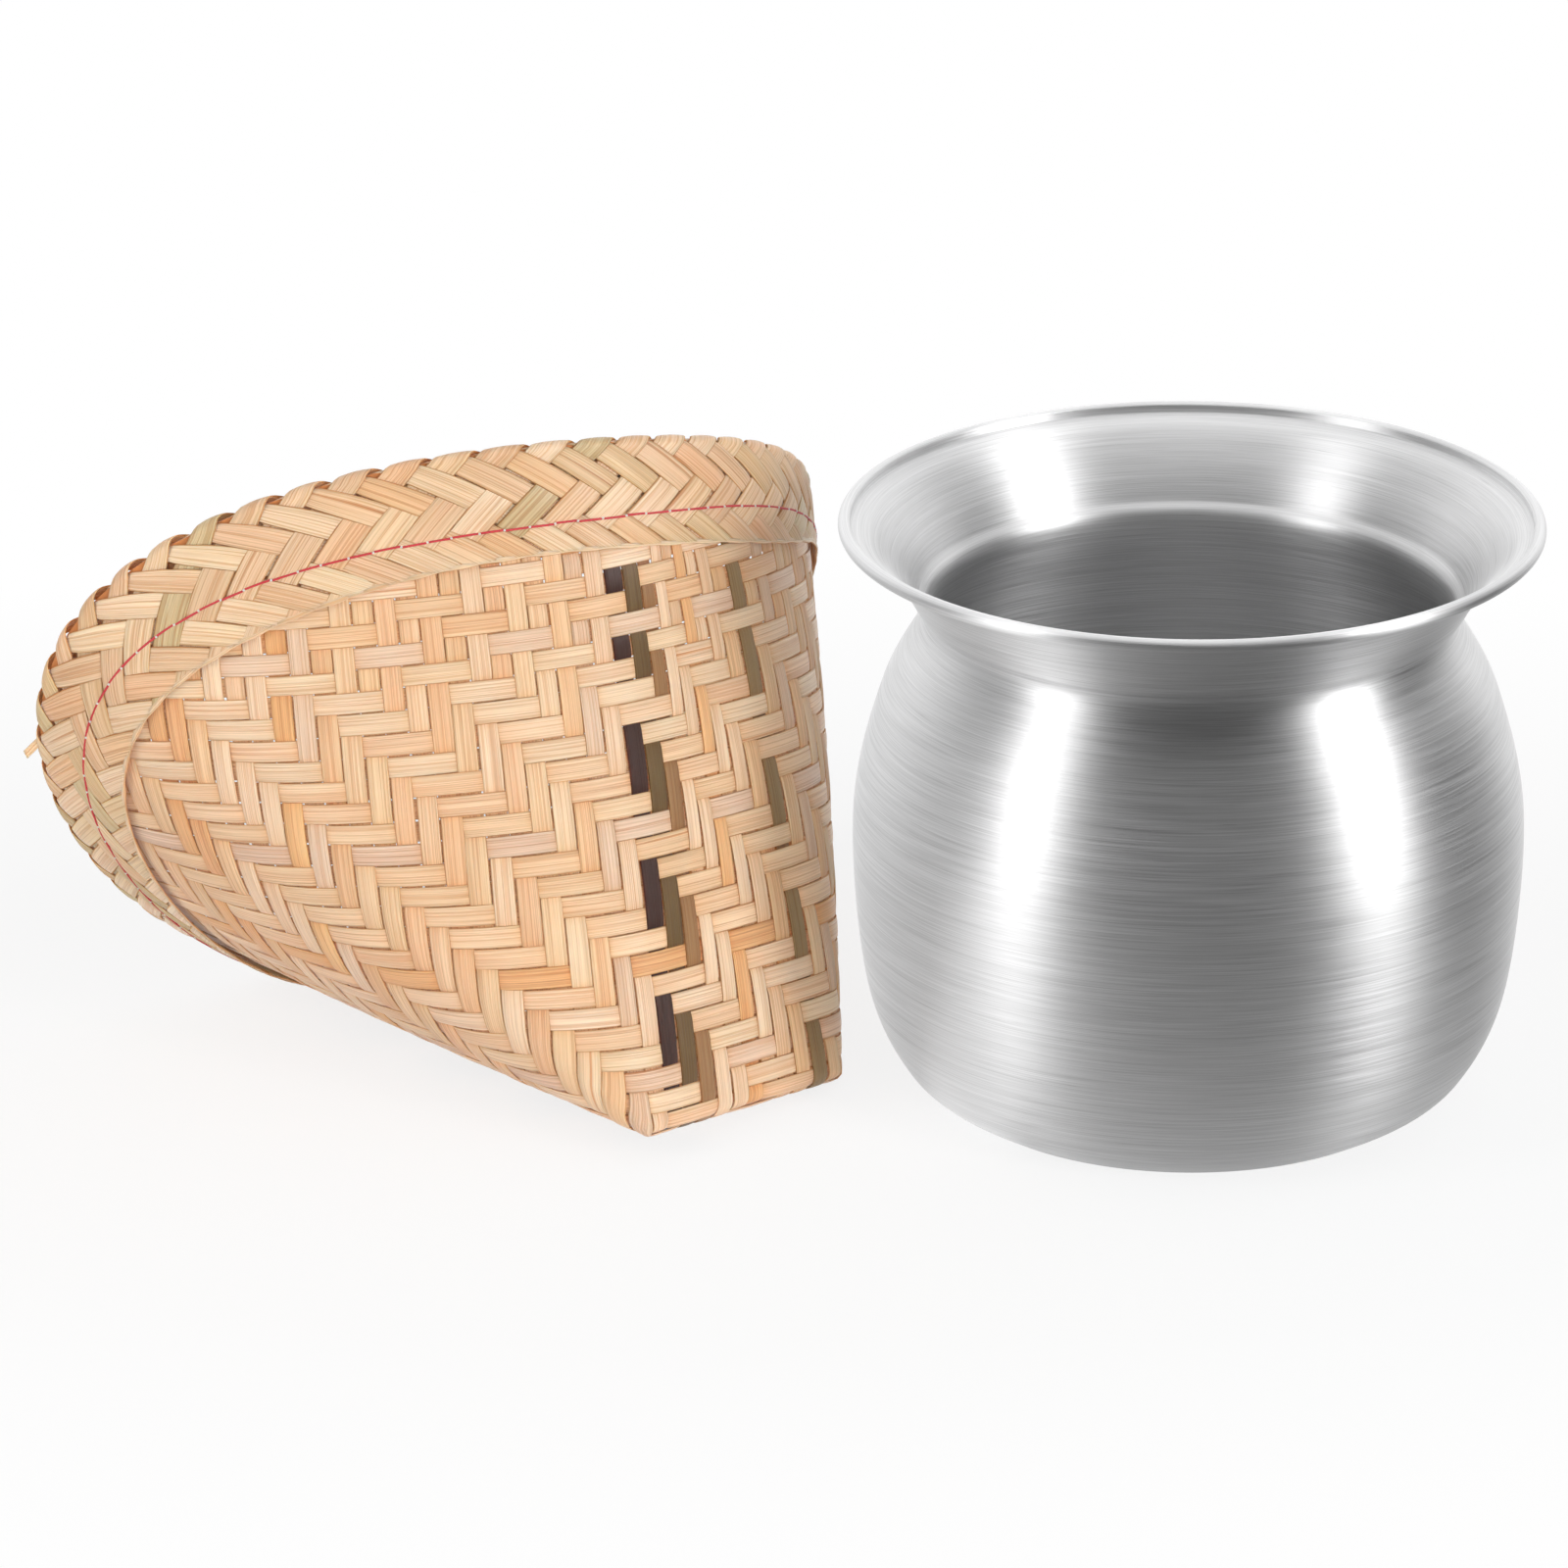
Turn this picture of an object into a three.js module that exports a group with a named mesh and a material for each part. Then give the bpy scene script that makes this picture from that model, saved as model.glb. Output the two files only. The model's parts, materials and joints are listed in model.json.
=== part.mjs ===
// Sticky rice steamer: a spun aluminium pot, and the woven bamboo basket that steams over it.
// The pot stands at the origin. The basket lies on its side to the left of it, its mouth up and away.
// Lengths are in millimetres and angles in degrees. +Z is up.

import * as THREE from "three";

// Pot: outside radius and height at each station, from the base up.
const baseRadius = 77;
const heelRadius = 93;
const heelHeight = 12;
const flankRadius = 105;
const flankHeight = 41;
const bellyRadius = 109;
const bellyHeight = 96;
const shoulderRadius = 100;
const shoulderHeight = 137.5;
const neckRadius = 87.3;
const neckHeight = 162.5;
const lipRadius = 114.2;
const lipHeight = 194.4;
const beadRadius = 2.2;
const potWall = 1.4;
const potSides = 60;
const potRows = 24;

// Basket: the fold that closes its bottom, and the mouth.
const foldLength = 93.3;
const foldThickness = 6.4;
const mouthAcross = 258;
const mouthAlong = 291;
const panelHeight = 169;
const cornerRise = 36;
const sideLean = 24.5;
const panelLean = 11.5;
const wallBulge = 2.5;
const wallThickness = 2.2;
const basketSides = 96;

// Band: a plaited strip folded over the edge of the mouth, round a thin hoop.
const bandHeight = 36;
const bandInnerHeight = 33;
const bandThickness = 1.6;
const hoopHeight = 4.5;
const seatGap = 0.3;

// How the basket lies, and where the middle of its fold is.
const basketHeading = 133.8;
const basketTip = 50.9;
const basketRoll = 6.7;
const basketX = -143.4;
const basketY = -37.6;

// Shape of the basket's mouth and fold, as shares of the sizes above.
const cornerPointShare = 0.025;
const foldEndShare = 0.25;
const wallRowShares = [0, 0.04, 0.14, 0.28, 0.45, 0.62, 0.78, 0.9, 1];

// Shape of the flare between the neck and the lip, as shares of its width and height.
const flareShares = [
  [0.11, 0.24],
  [0.36, 0.55],
  [0.7, 0.84],
];

// Where the flare meets the lip's bead, and the bead's points from there, as angles round it.
const beadStart = -115;
const beadAngles = [-75, -35, 0, 35, 75, 115, 150];

// A small step along the basket's wall, as a share, for finding which way the wall faces.
const normalStepShare = 1e-3;

const aluminium = new THREE.MeshStandardMaterial({ color: 0xb9bbbd, roughness: 0.34, metalness: 1 });
const bamboo = new THREE.MeshStandardMaterial({ color: 0xd9ad78, roughness: 0.6, metalness: 0 });
const greenBamboo = new THREE.MeshStandardMaterial({ color: 0xd2bf7e, roughness: 0.58, metalness: 0 });
const splitBamboo = new THREE.MeshStandardMaterial({ color: 0xc9a566, roughness: 0.65, metalness: 0 });

// The pot's outside from the edge of its base to the underside of the bead, as a smooth curve.
function potOutside() {
  const flare = flareShares.map(
    ([across, up]) =>
      new THREE.Vector2(
        neckRadius + across * (lipRadius - beadRadius - neckRadius),
        neckHeight + up * (lipHeight - neckHeight),
      ),
  );
  return new THREE.SplineCurve([
    new THREE.Vector2(baseRadius, 0),
    new THREE.Vector2(heelRadius, heelHeight),
    new THREE.Vector2(flankRadius, flankHeight),
    new THREE.Vector2(bellyRadius, bellyHeight),
    new THREE.Vector2(shoulderRadius, shoulderHeight),
    new THREE.Vector2(neckRadius, neckHeight),
    ...flare,
    beadPoint(beadStart),
  ]);
}

// A point on the rolled bead of the lip, by its angle round the bead.
function beadPoint(angle) {
  const turn = THREE.MathUtils.degToRad(angle);
  return new THREE.Vector2(
    lipRadius - beadRadius + beadRadius * Math.cos(turn),
    lipHeight + beadRadius * Math.sin(turn),
  );
}

// The spun pot: one wall from the middle of the base, round the belly and the lip, and back inside.
function makePot() {
  const curve = potOutside();
  const outside = [];
  const inside = [];
  for (let i = 0; i <= potRows; i++) {
    const point = curve.getPoint(i / potRows);
    const along = curve.getTangent(i / potRows);
    outside.push(point);
    if (i > 0 && i < potRows) {
      const inner = new THREE.Vector2(point.x - potWall * along.y, point.y + potWall * along.x);
      inner.y = Math.max(inner.y, potWall);
      inside.unshift(inner);
    }
  }
  const profile = [
    new THREE.Vector2(0, 0),
    ...outside,
    ...beadAngles.map(beadPoint),
    ...inside,
    new THREE.Vector2(baseRadius - potWall, potWall),
    new THREE.Vector2(0, potWall),
  ];
  return new THREE.LatheGeometry(profile, potSides);
}

// A point on the edge of the mouth. It rises over the two corners of the fold, drawn to a soft point.
function rimPoint(turn) {
  const c = Math.cos(turn);
  const s = Math.sin(turn);
  return new THREE.Vector3(
    (mouthAcross / 2) * c,
    (mouthAlong / 2) * ((1 - cornerPointShare) * s - cornerPointShare * Math.sin(3 * turn)),
    panelHeight + cornerRise * s * s + sideLean * s - panelLean * c,
  );
}

// The point on the rounded fold from which the wall rises to that point of the mouth.
function foldPoint(turn) {
  const s = Math.sin(turn);
  const along = (s * Math.sqrt(1 + foldEndShare ** 2)) / Math.sqrt(s * s + foldEndShare ** 2);
  return new THREE.Vector3((foldThickness / 2) * Math.cos(turn), (foldLength / 2) * along, 0);
}

// A point of the wall's outside: a straight line from fold to mouth, swelling a little half way.
function wallLine(turn, share) {
  const low = foldPoint(turn);
  const high = rimPoint(turn);
  const point = low.clone().lerp(high, share);
  const swell = 4 * wallBulge * share * (1 - share);
  return point.add(new THREE.Vector3(Math.cos(turn), Math.sin(turn), 0).multiplyScalar(swell));
}

// The same point moved out along the wall's normal, or in where offset is below zero.
function wallPoint(turn, share, offset) {
  const step = normalStepShare;
  const point = wallLine(turn, share);
  const round = wallLine(turn + step, share).sub(wallLine(turn - step, share));
  const up = wallLine(turn, share + step).sub(wallLine(turn, share - step));
  return point.add(round.cross(up).normalize().multiplyScalar(offset));
}

// Length of the wall from fold to mouth on that side.
function wallLength(turn) {
  return foldPoint(turn).distanceTo(rimPoint(turn));
}

// A ring of points round the basket, each at a depth below the edge of the mouth.
function ringBelowRim(depth, offset) {
  const ring = [];
  for (let i = 0; i < basketSides; i++) {
    const turn = (2 * Math.PI * i) / basketSides;
    ring.push(wallPoint(turn, 1 - depth / wallLength(turn), offset));
  }
  return ring;
}

// A ring of points at a share of the way from the fold to a depth below the mouth.
function ringAtShare(share, start, depth, offset) {
  const ring = [];
  for (let i = 0; i < basketSides; i++) {
    const turn = (2 * Math.PI * i) / basketSides;
    const length = wallLength(turn);
    const low = start / length;
    const high = 1 - depth / length;
    ring.push(wallPoint(turn, low + share * (high - low), offset));
  }
  return ring;
}

// One closed skin through rings of points: round in a loop, or capped at its first and last ring.
function skinRings(rings, looped) {
  const sides = rings[0].length;
  const positions = rings.flat().flatMap((p) => p.toArray());
  const faces = [];
  const bands = looped ? rings.length : rings.length - 1;
  for (let r = 0; r < bands; r++) {
    const next = (r + 1) % rings.length;
    for (let i = 0; i < sides; i++) {
      const a = r * sides + i;
      const b = r * sides + ((i + 1) % sides);
      const c = next * sides + i;
      const d = next * sides + ((i + 1) % sides);
      faces.push(a, b, d, a, d, c);
    }
  }
  if (!looped) {
    capRing(positions, faces, rings[0], 0, false);
    capRing(positions, faces, rings.at(-1), (rings.length - 1) * sides, true);
  }
  const geometry = new THREE.BufferGeometry();
  geometry.setAttribute("position", new THREE.Float32BufferAttribute(positions, 3));
  geometry.setIndex(faces);
  geometry.computeVertexNormals();
  return geometry;
}

// Closes a ring with a fan of faces about its middle.
function capRing(positions, faces, ring, start, upward) {
  const middle = ring.reduce((sum, p) => sum.add(p), new THREE.Vector3()).divideScalar(ring.length);
  const centre = positions.length / 3;
  positions.push(...middle.toArray());
  for (let i = 0; i < ring.length; i++) {
    const a = start + i;
    const b = start + ((i + 1) % ring.length);
    faces.push(...(upward ? [a, b, centre] : [b, a, centre]));
  }
}

// The woven cone: one wall, closed along the fold and open at the mouth. Its edge stops under the hoop.
function makeWall() {
  const edgeDepth = bandThickness + hoopHeight + 2 * seatGap;
  const outside = wallRowShares.map((share) => ringAtShare(share, 0, edgeDepth, 0));
  const inside = wallRowShares
    .map((share) => ringAtShare(share, wallThickness, edgeDepth, -wallThickness))
    .reverse();
  return skinRings([...outside, ...inside], false);
}

// The folded band: down the outside of the wall, over the hoop, and down the inside.
function makeBand() {
  const outer = seatGap + bandThickness;
  const inner = -wallThickness - seatGap;
  const top = (outer + inner - bandThickness) / 2;
  const shoulder = bandThickness / 2;
  const rings = [
    ringBelowRim(bandHeight, seatGap),
    ringBelowRim(bandHeight, outer),
    ringBelowRim(bandHeight / 2, outer),
    ringBelowRim(3 * shoulder, outer),
    ringBelowRim(shoulder, outer - shoulder),
    ringBelowRim(0, top),
    ringBelowRim(shoulder, inner - bandThickness + shoulder),
    ringBelowRim(3 * shoulder, inner - bandThickness),
    ringBelowRim(bandInnerHeight / 2, inner - bandThickness),
    ringBelowRim(bandInnerHeight, inner - bandThickness),
    ringBelowRim(bandInnerHeight, inner),
    ringBelowRim(bandInnerHeight / 2, inner),
    ringBelowRim(bandThickness, inner),
    ringBelowRim(bandThickness, seatGap),
    ringBelowRim(bandHeight / 2, seatGap),
  ];
  return skinRings(rings, true);
}

// The split bamboo hoop that stands on the wall's edge inside the fold of the band.
function makeHoop() {
  const high = bandThickness + seatGap;
  const low = high + hoopHeight;
  const rings = [
    ringBelowRim(low, 0),
    ringBelowRim(high, 0),
    ringBelowRim(high, -wallThickness),
    ringBelowRim(low, -wallThickness),
  ];
  return skinRings(rings, true);
}

function namedMesh(name, geometry, material) {
  const mesh = new THREE.Mesh(geometry, material);
  mesh.name = name;
  return mesh;
}

// The basket, tipped on its side and turned, with its lowest point on the ground.
function makeBasket() {
  const rolled = new THREE.Group();
  rolled.rotation.z = THREE.MathUtils.degToRad(basketRoll);
  rolled.add(namedMesh("basket_wall", makeWall(), bamboo));
  rolled.add(namedMesh("rim_band", makeBand(), greenBamboo));
  rolled.add(namedMesh("rim_hoop", makeHoop(), splitBamboo));
  const tipped = new THREE.Group();
  tipped.rotation.y = THREE.MathUtils.degToRad(basketTip);
  tipped.add(rolled);
  const placed = new THREE.Group();
  placed.rotation.z = THREE.MathUtils.degToRad(basketHeading);
  placed.add(tipped);
  placed.updateMatrixWorld(true);
  const lowest = new THREE.Box3().setFromObject(placed, true).min.z;
  placed.position.set(basketX, basketY, -lowest);
  return placed;
}

const pot = namedMesh("pot_body", makePot(), aluminium);
pot.rotation.x = Math.PI / 2;

const steamer = new THREE.Group();
steamer.add(pot, makeBasket());

export default steamer;
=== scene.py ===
import json
import math

import bpy
import numpy as np
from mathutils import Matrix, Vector

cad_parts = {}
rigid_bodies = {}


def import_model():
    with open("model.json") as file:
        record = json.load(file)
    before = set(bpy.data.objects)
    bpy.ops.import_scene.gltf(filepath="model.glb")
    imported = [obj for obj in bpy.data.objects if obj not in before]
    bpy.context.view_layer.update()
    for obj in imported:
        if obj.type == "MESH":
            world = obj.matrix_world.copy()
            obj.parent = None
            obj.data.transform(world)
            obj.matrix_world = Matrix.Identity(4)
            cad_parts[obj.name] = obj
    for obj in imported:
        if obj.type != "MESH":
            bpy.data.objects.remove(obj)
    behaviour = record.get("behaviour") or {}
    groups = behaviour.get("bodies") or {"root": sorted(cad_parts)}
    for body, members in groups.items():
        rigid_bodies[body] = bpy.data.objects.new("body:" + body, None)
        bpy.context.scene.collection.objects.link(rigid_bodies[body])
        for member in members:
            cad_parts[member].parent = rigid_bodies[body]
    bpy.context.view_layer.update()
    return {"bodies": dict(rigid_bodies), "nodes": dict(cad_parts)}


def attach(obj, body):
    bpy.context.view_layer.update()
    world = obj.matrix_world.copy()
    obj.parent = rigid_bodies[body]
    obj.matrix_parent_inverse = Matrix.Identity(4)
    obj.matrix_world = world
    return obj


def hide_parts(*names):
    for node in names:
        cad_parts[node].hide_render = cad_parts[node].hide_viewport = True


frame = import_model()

# Sticky rice steamer: a spun aluminium pot, and a woven bamboo basket on its side.
# Lengths of the object are in millimetres until they are put into a mesh, which is in metres.
MM = 0.001
WHITE = (1, 1, 1, 1)

# Pot, as in the frame. Angles round the bead of the lip are in degrees, and each point of the flare is a
# share of its way out and of its way up.
base_radius = 77
heel_radius = 93
heel_height = 12
flank_radius = 105
flank_height = 41
belly_radius = 109
belly_height = 96
shoulder_radius = 100
shoulder_height = 137.5
neck_radius = 87.3
neck_height = 162.5
lip_radius = 114.2
lip_height = 194.4
bead_radius = 2.2
bead_start = -115
bead_angles = range(-95, 151, 15)
pot_wall = 1.4
base_rounding = 1.5
base_inner_rounding = 2
flare_shares = [(0.11, 0.24), (0.36, 0.55), (0.7, 0.84)]
profile_steps = 110
pot_steps = 224
merge_distance = 0.02

# Basket, as in the frame. The lean of the flat pattern past a corner is in degrees.
fold_length = 93.3
fold_thickness = 6.4
mouth_across = 258
mouth_along = 291
panel_height = 169
corner_rise = 36
side_lean = 24.5
panel_lean = 11.5
wall_bulge = 2.5
wall_thickness = 2.2
corner_point_share = 0.025
fold_end_share = 0.25
corner_lean = 45
basket_heading = 133.8
basket_tip = 50.9
basket_roll = 6.7
basket_x = -143.4
basket_y = -37.6
floor_gap = 0.2

# How finely the wall is measured: steps of turn, columns of a panel, and rows of 1 mm. The lowest point is
# looked for between two distances up the wall, in so many steps.
turn_steps = 720
panel_columns = 320
panel_reach = 260
turn_nudge = 2e-3
run_nudge = 0.05
search_runs = (0.2, 250, 120)

# Weave: strips that run round the fold, and strips that run round the basket.
fold_strips = 12
fold_pitch = fold_length / fold_strips
weave_rows = 33
row_pitch = 7.27
strip_width = 7.08
fold_strip_width = 7.5
strip_thickness = 0.36
strip_crown = 0.14
strip_lift = 0.29
float_lift = 0.26
step_softness = 0.62
strip_depth = -wall_thickness / 2 - 0.1
sample_step = 1.5
edge_depth = 7.0
twill = 6
loose_row = 20
# Crossings counted past the corners, the longest that half a strip can be, and how close one comes to the
# middle of the fold.
spare_crossings = 36
half_strip_reach = 330
least_height = 0.05
# How far a strip wanders sideways and up, and how its width varies.
wander = 0.17
ripple = 0.05
wander_waves = 3
wander_lengths = (18, 60)
width_shares = (0.93, 1.01)

# Band: strips plaited in a herringbone, folded over the edge of the mouth.
band_strips = 53
band_angle = 34
band_slant = math.sin(math.radians(band_angle))
band_row = 11.6
band_first_row = 5.0
band_start = band_first_row + band_row / 4
band_strip_width = 8.8
band_thickness = 0.45
band_crown = 0.25
band_lift = 0.34
band_float = 0.18
band_steepness = 1.9
band_outer = 1.05
band_inner = -3.3
band_top = 1.25
band_height = 36.5
band_inner_height = 33
band_step = 1.3
band_wander = 0.5
band_width_shares = (0.9, 1.05)
# Where the band is wider or narrower: turn in degrees, spread in radians, and by how much.
band_humps = [(112, 0.52, 4.5), (238, 0.45, -11)]
# The plait is looser round this turn: its strips draw in and part over the edge.
loose_turn = 98
loose_spread = 0.75
edge_middle = -0.5
edge_spread = 5.5
edge_lift = (0.12, 0.5)
narrow_spread = 7.5
narrow_share = (0.1, 0.42)
# The strips end in one line on the wall, under the folded edge.
foot_reach = 9.0
foot_lift = 0.35
foot_calm = 0.5
hem_width = 1.8
hem_thickness = 0.6
hem_lift = 0.38
hem_sway = 0.2
hem_ripple = 0.12
hem_steps = 640
# The loose end of a strip at the left: its turn in degrees, its root in the band, how far it pokes out, and
# which ways it is broad and faces.
stray_turn = 69
stray_down = -3.0
stray_sunk = -0.6
stray_width = 2.8
stray_length = 8
stray_reach = (-7.5, -2.5, -6.0)
stray_broad = np.array([-0.45, 0.2, 0.87])
stray_facing = np.array([0, -1, 0.2])
stray_sag = 0.6
stray_steps = 7

# Thread: its depth below the edge of the mouth varies by stitch_drop round a turn in degrees.
stitches = 94
stitch_high = 20.5
stitch_drop = 7
stitch_drop_turn = 148
stitch_offset = 0.34
stitch_wander = 0.25
stitch_jitter = 0.08
stitch_dive = 0.07
thread_radius = 0.37
thread_sides = 8
thread_sunk = 0.1
thread_rise = 0.7
thread_end_share = 0.35
# The small loop where two stitches lock: places along it, and how far each stands off the wall.
loop_steps = np.array([-0.4, -0.15, 0.15, 0.4])
loop_rise = np.array([0.6, 0.95, 0.95, 0.6])
loop_radius = thread_radius * 1.05
# A direction that no thread runs along, from which its sides are counted.
thread_side = np.array([0.3, 0.2, 0.93])

# Seeds of the random draws: for the colours and marks of each group, and for the first of its strips.
weave_seed = 11
band_seed = 5
thread_seed = 3
upper_seed = 100
under_seed = 200
fold_seed = 300
right_seed = 400
left_seed = 500

# Split bamboo, as shown on screen from 0 to 255, each with its share of the strips.
wall_kinds = [
    ((232, 191, 155), 0.36),
    ((236, 200, 168), 0.28),
    ((230, 184, 144), 0.16),
    ((229, 174, 124), 0.08),
    ((226, 190, 164), 0.12),
]
band_kinds = [
    ((225, 189, 154), 0.4),
    ((231, 199, 166), 0.25),
    ((219, 187, 147), 0.15),
    ((226, 183, 144), 0.12),
    ((204, 182, 142), 0.08),
]
# How much lighter or darker, and how much off in each colour, one strip can be.
tint_spread = 5
tint_cast = 1.5
# Dyed strips, by their column on the fold.
dyed = {1: (62, 38, 30), 2: (106, 84, 50), 3: (152, 116, 78), 10: (144, 120, 82)}
stray_colour = (228, 196, 160)
hem_colour = (226, 194, 160)
red_colour = (200, 48, 56)
white_colour = (240, 236, 230)
hoop_colour = (206, 128, 66)
# Shades of the lines, of the raw sides, which also paint warm shade into the gaps between strips, and of the
# splits of each kind of bamboo, and how much of it is split.
dry_finish = ((0.86, 0.77, 0.7, 1), (1.0, 0.77, 0.54, 1), (0.8, 0.6, 0.46, 1), 0.18)
green_finish = ((0.84, 0.73, 0.62, 1), (1.0, 0.66, 0.38, 1), (0.72, 0.54, 0.4, 1), 0.21)
# Painted shade where a strip of the wall dips under the others, and a painted highlight on its crests.
painted_dip_shade = np.array([0.96, 0.82, 0.67, 1])
painted_crest_highlight = np.array([1.04, 1.07, 1.11, 1])

# Grain of split bamboo: how often it repeats in a metre along a strip and across it.
fine_grain = (24, 2600, 1)
fibre_grain = (8, 1600, 1)
slow_grain = (14, 160, 1)
split_grain = (9, 620, 1)
# How far the grain is shifted from strip to strip, along and across.
wall_grain_shift = (0.731, 0.0137)
band_grain_shift = (0.531, 0.0173)

# Spun aluminium: its colour, and its marks by how often they change in one turn and in a metre.
aluminium_colour = (0.61, 0.61, 0.613, 1)
fine_rings = (3.0, 3000, 2.0)
broad_rings = (2.0, 1000, 2.0)
long_rings = (6.0, 3800, 1.0)

# Studio, in metres and watts: place, aim, size and power of each lamp, and the rays that don't see it.
pot_aim = (-0.05, 0, 0.1)
basket_aim = (-0.15, 0, 0.1)
left_place = (-1.47, -0.86, 0.8)
right_place = (1.54, -0.68, 0.9)
lamps = [
    ("left_softbox", left_place, pot_aim, (0.6, 1.4), 15.5, "visible_diffuse"),
    ("left_fill", (-1.6, -0.8, 0.65), pot_aim, (0.48, 1.4), 9.5, "visible_glossy"),
    ("right_softbox", right_place, pot_aim, (0.66, 1.4), 27, "visible_diffuse"),
    ("right_fill", (1.25, -1.45, 0.5), basket_aim, (0.5, 1.4), 26, "visible_glossy"),
    ("top_softbox", (-0.2, 0.0, 2.2), (-0.2, 0, 0.1), (2.4, 2.2), 2.0, None),
    ("front_fill", (0.55, -2.3, 0.65), basket_aim, (1.2, 1.2), 11.5, "visible_glossy"),
]
floor_size = 30
floor_height = -0.0002
# The mirrored floor, seen only in reflections, is painted light: weight of right in how far behind the
# object a place is, that distance and its painted glow, and the painted pool of light below each softbox
# with the share of its direction where it starts.
floor_slant = -0.9
floor_depth = (-0.34, 0.06)
painted_floor_glow = (0.12, 1.0)
painted_light_pools = [(left_place, 0.65), (right_place, 0.15)]
painted_pool_edge = 0.93
# The shadow: its middle and stretch, the distance over which it fades, and how white the floor is there.
shadow_shift = (0.087, 0, 0)
shadow_stretch = (0.67, 1, 1)
shadow_reach = (0.22, 0.5)
shadow_white = (0.8, 1.0)
# The mirrored studio: weights of up, right and the right half alone in how far behind the object a
# direction is, that distance and its glow, and the ceiling by its height and glow.
sky_weights = (0.72, 0.34, -0.89)
sky_depth = (-0.05, 0.5)
sky_glow = (0.125, 1.6)
ceiling_edge = (0.78, 0.97)
ceiling_glow = 2.3
# Light of the studio on all that isn't mirrored.
sky_fill = 0.52
camera_target = (-0.1315, 0, 0.1044)
camera_distance = 4.0
camera_elevation = math.radians(21.3)
camera_lens = 282.6


def srgb(red, green, blue):
    """A colour as shown on screen, from 0 to 255, turned to linear light."""
    out = []
    for value in (red, green, blue):
        share = value / 255
        out.append(share / 12.92 if share <= 0.04045 else ((share + 0.055) / 1.055) ** 2.4)
    return (*out, 1.0)


def hump(value, middle, spread):
    """A smooth hump, 1 high at the middle."""
    return np.exp(-(((value - middle) / spread) ** 2))


def unit(vectors):
    return vectors / np.linalg.norm(vectors, axis=-1, keepdims=True)


# Shape of the basket.

def rim_point(turn):
    c, s = np.cos(turn), np.sin(turn)
    along = (1 - corner_point_share) * s - corner_point_share * np.sin(3 * turn)
    height = panel_height + corner_rise * s * s + side_lean * s - panel_lean * c
    return np.stack([mouth_across / 2 * c, mouth_along / 2 * along, height], -1)


def fold_point(turn):
    c, s = np.cos(turn), np.sin(turn)
    along = s * math.sqrt(1 + fold_end_share**2) / np.sqrt(s * s + fold_end_share**2)
    return np.stack([fold_thickness / 2 * c, fold_length / 2 * along, 0 * c], -1)


def ruling(turn):
    """The straight line of the wall at that turn: where it starts, its direction and length."""
    low = fold_point(turn)
    line = rim_point(turn) - low
    length = np.linalg.norm(line, axis=-1)
    return low, line / length[..., None], length


def rounding(turn):
    """How the wall rounds into the fold: half thickness, radius, angle and length of the arc."""
    low, ray = ruling(turn)[:2]
    reach = np.abs(low[..., 0]) + 1e-4
    slope = np.arctan2(ray[..., 2], np.hypot(ray[..., 0], ray[..., 1]))
    radius = reach / np.tan(slope / 2)
    return reach, radius, slope, radius * slope


def wall_run(turn):
    """Length along the wall from the middle of the fold to the edge of the mouth."""
    reach, *_, arc = rounding(turn)
    return ruling(turn)[2] - reach + arc


def wall_at(turn, run):
    """A point of the wall's outside, by its turn and its distance from the middle of the fold."""
    low, ray, length = ruling(turn)
    reach, radius, slope, arc = rounding(turn)
    flat = unit(ray * np.array([1, 1, 0]))
    start = low - flat * reach[..., None]
    angle = np.clip(run / radius, 0, slope)
    up = np.zeros_like(flat)
    up[..., 2] = 1
    curved = start + flat * (radius * np.sin(angle))[..., None]
    curved = curved + up * (radius * (1 - np.cos(angle)))[..., None]
    far = reach + run - arc
    straight = low + ray * far[..., None]
    share = np.clip(far / length, 0, 1)
    swell = 4 * wall_bulge * share * (1 - share)
    out = np.stack([np.cos(turn), np.sin(turn), 0 * turn], -1) * swell[..., None]
    return np.where((run < arc)[..., None], curved, straight) + out


def wall_skin(turn, run):
    """Points of the wall's outside with the direction that it faces there."""
    round_it = wall_at(turn + turn_nudge, run) - wall_at(turn - turn_nudge, run)
    up_it = wall_at(turn, run + run_nudge) - wall_at(turn, np.maximum(run - run_nudge, 0))
    return wall_at(turn, run), unit(np.cross(round_it, up_it))


def turning(axis, degrees):
    c, s = math.cos(math.radians(degrees)), math.sin(math.radians(degrees))
    if axis == "z":
        return np.array([[c, -s, 0], [s, c, 0], [0, 0, 1]])
    return np.array([[c, 0, s], [0, 1, 0], [-s, 0, c]])


basket_turn = turning("z", basket_heading) @ turning("y", basket_tip) @ turning("z", basket_roll)


def lowest_point():
    turn, run = np.meshgrid(np.linspace(0, 2 * math.pi, turn_steps // 2 + 1), np.linspace(*search_runs))
    points = wall_at(turn, np.minimum(run, wall_run(turn))) @ basket_turn.T
    return points[..., 2].min()


basket_place = np.array([basket_x, basket_y, -lowest_point() + floor_gap])


def to_world(points):
    return (points @ basket_turn.T + basket_place) * MM


# Flat pattern of the basket. Each panel is laid flat with x along the fold and y up from it. Past each
# corner of the fold the panel widens at 45 degrees, so a strip that leaves it sideways climbs the other.

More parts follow.
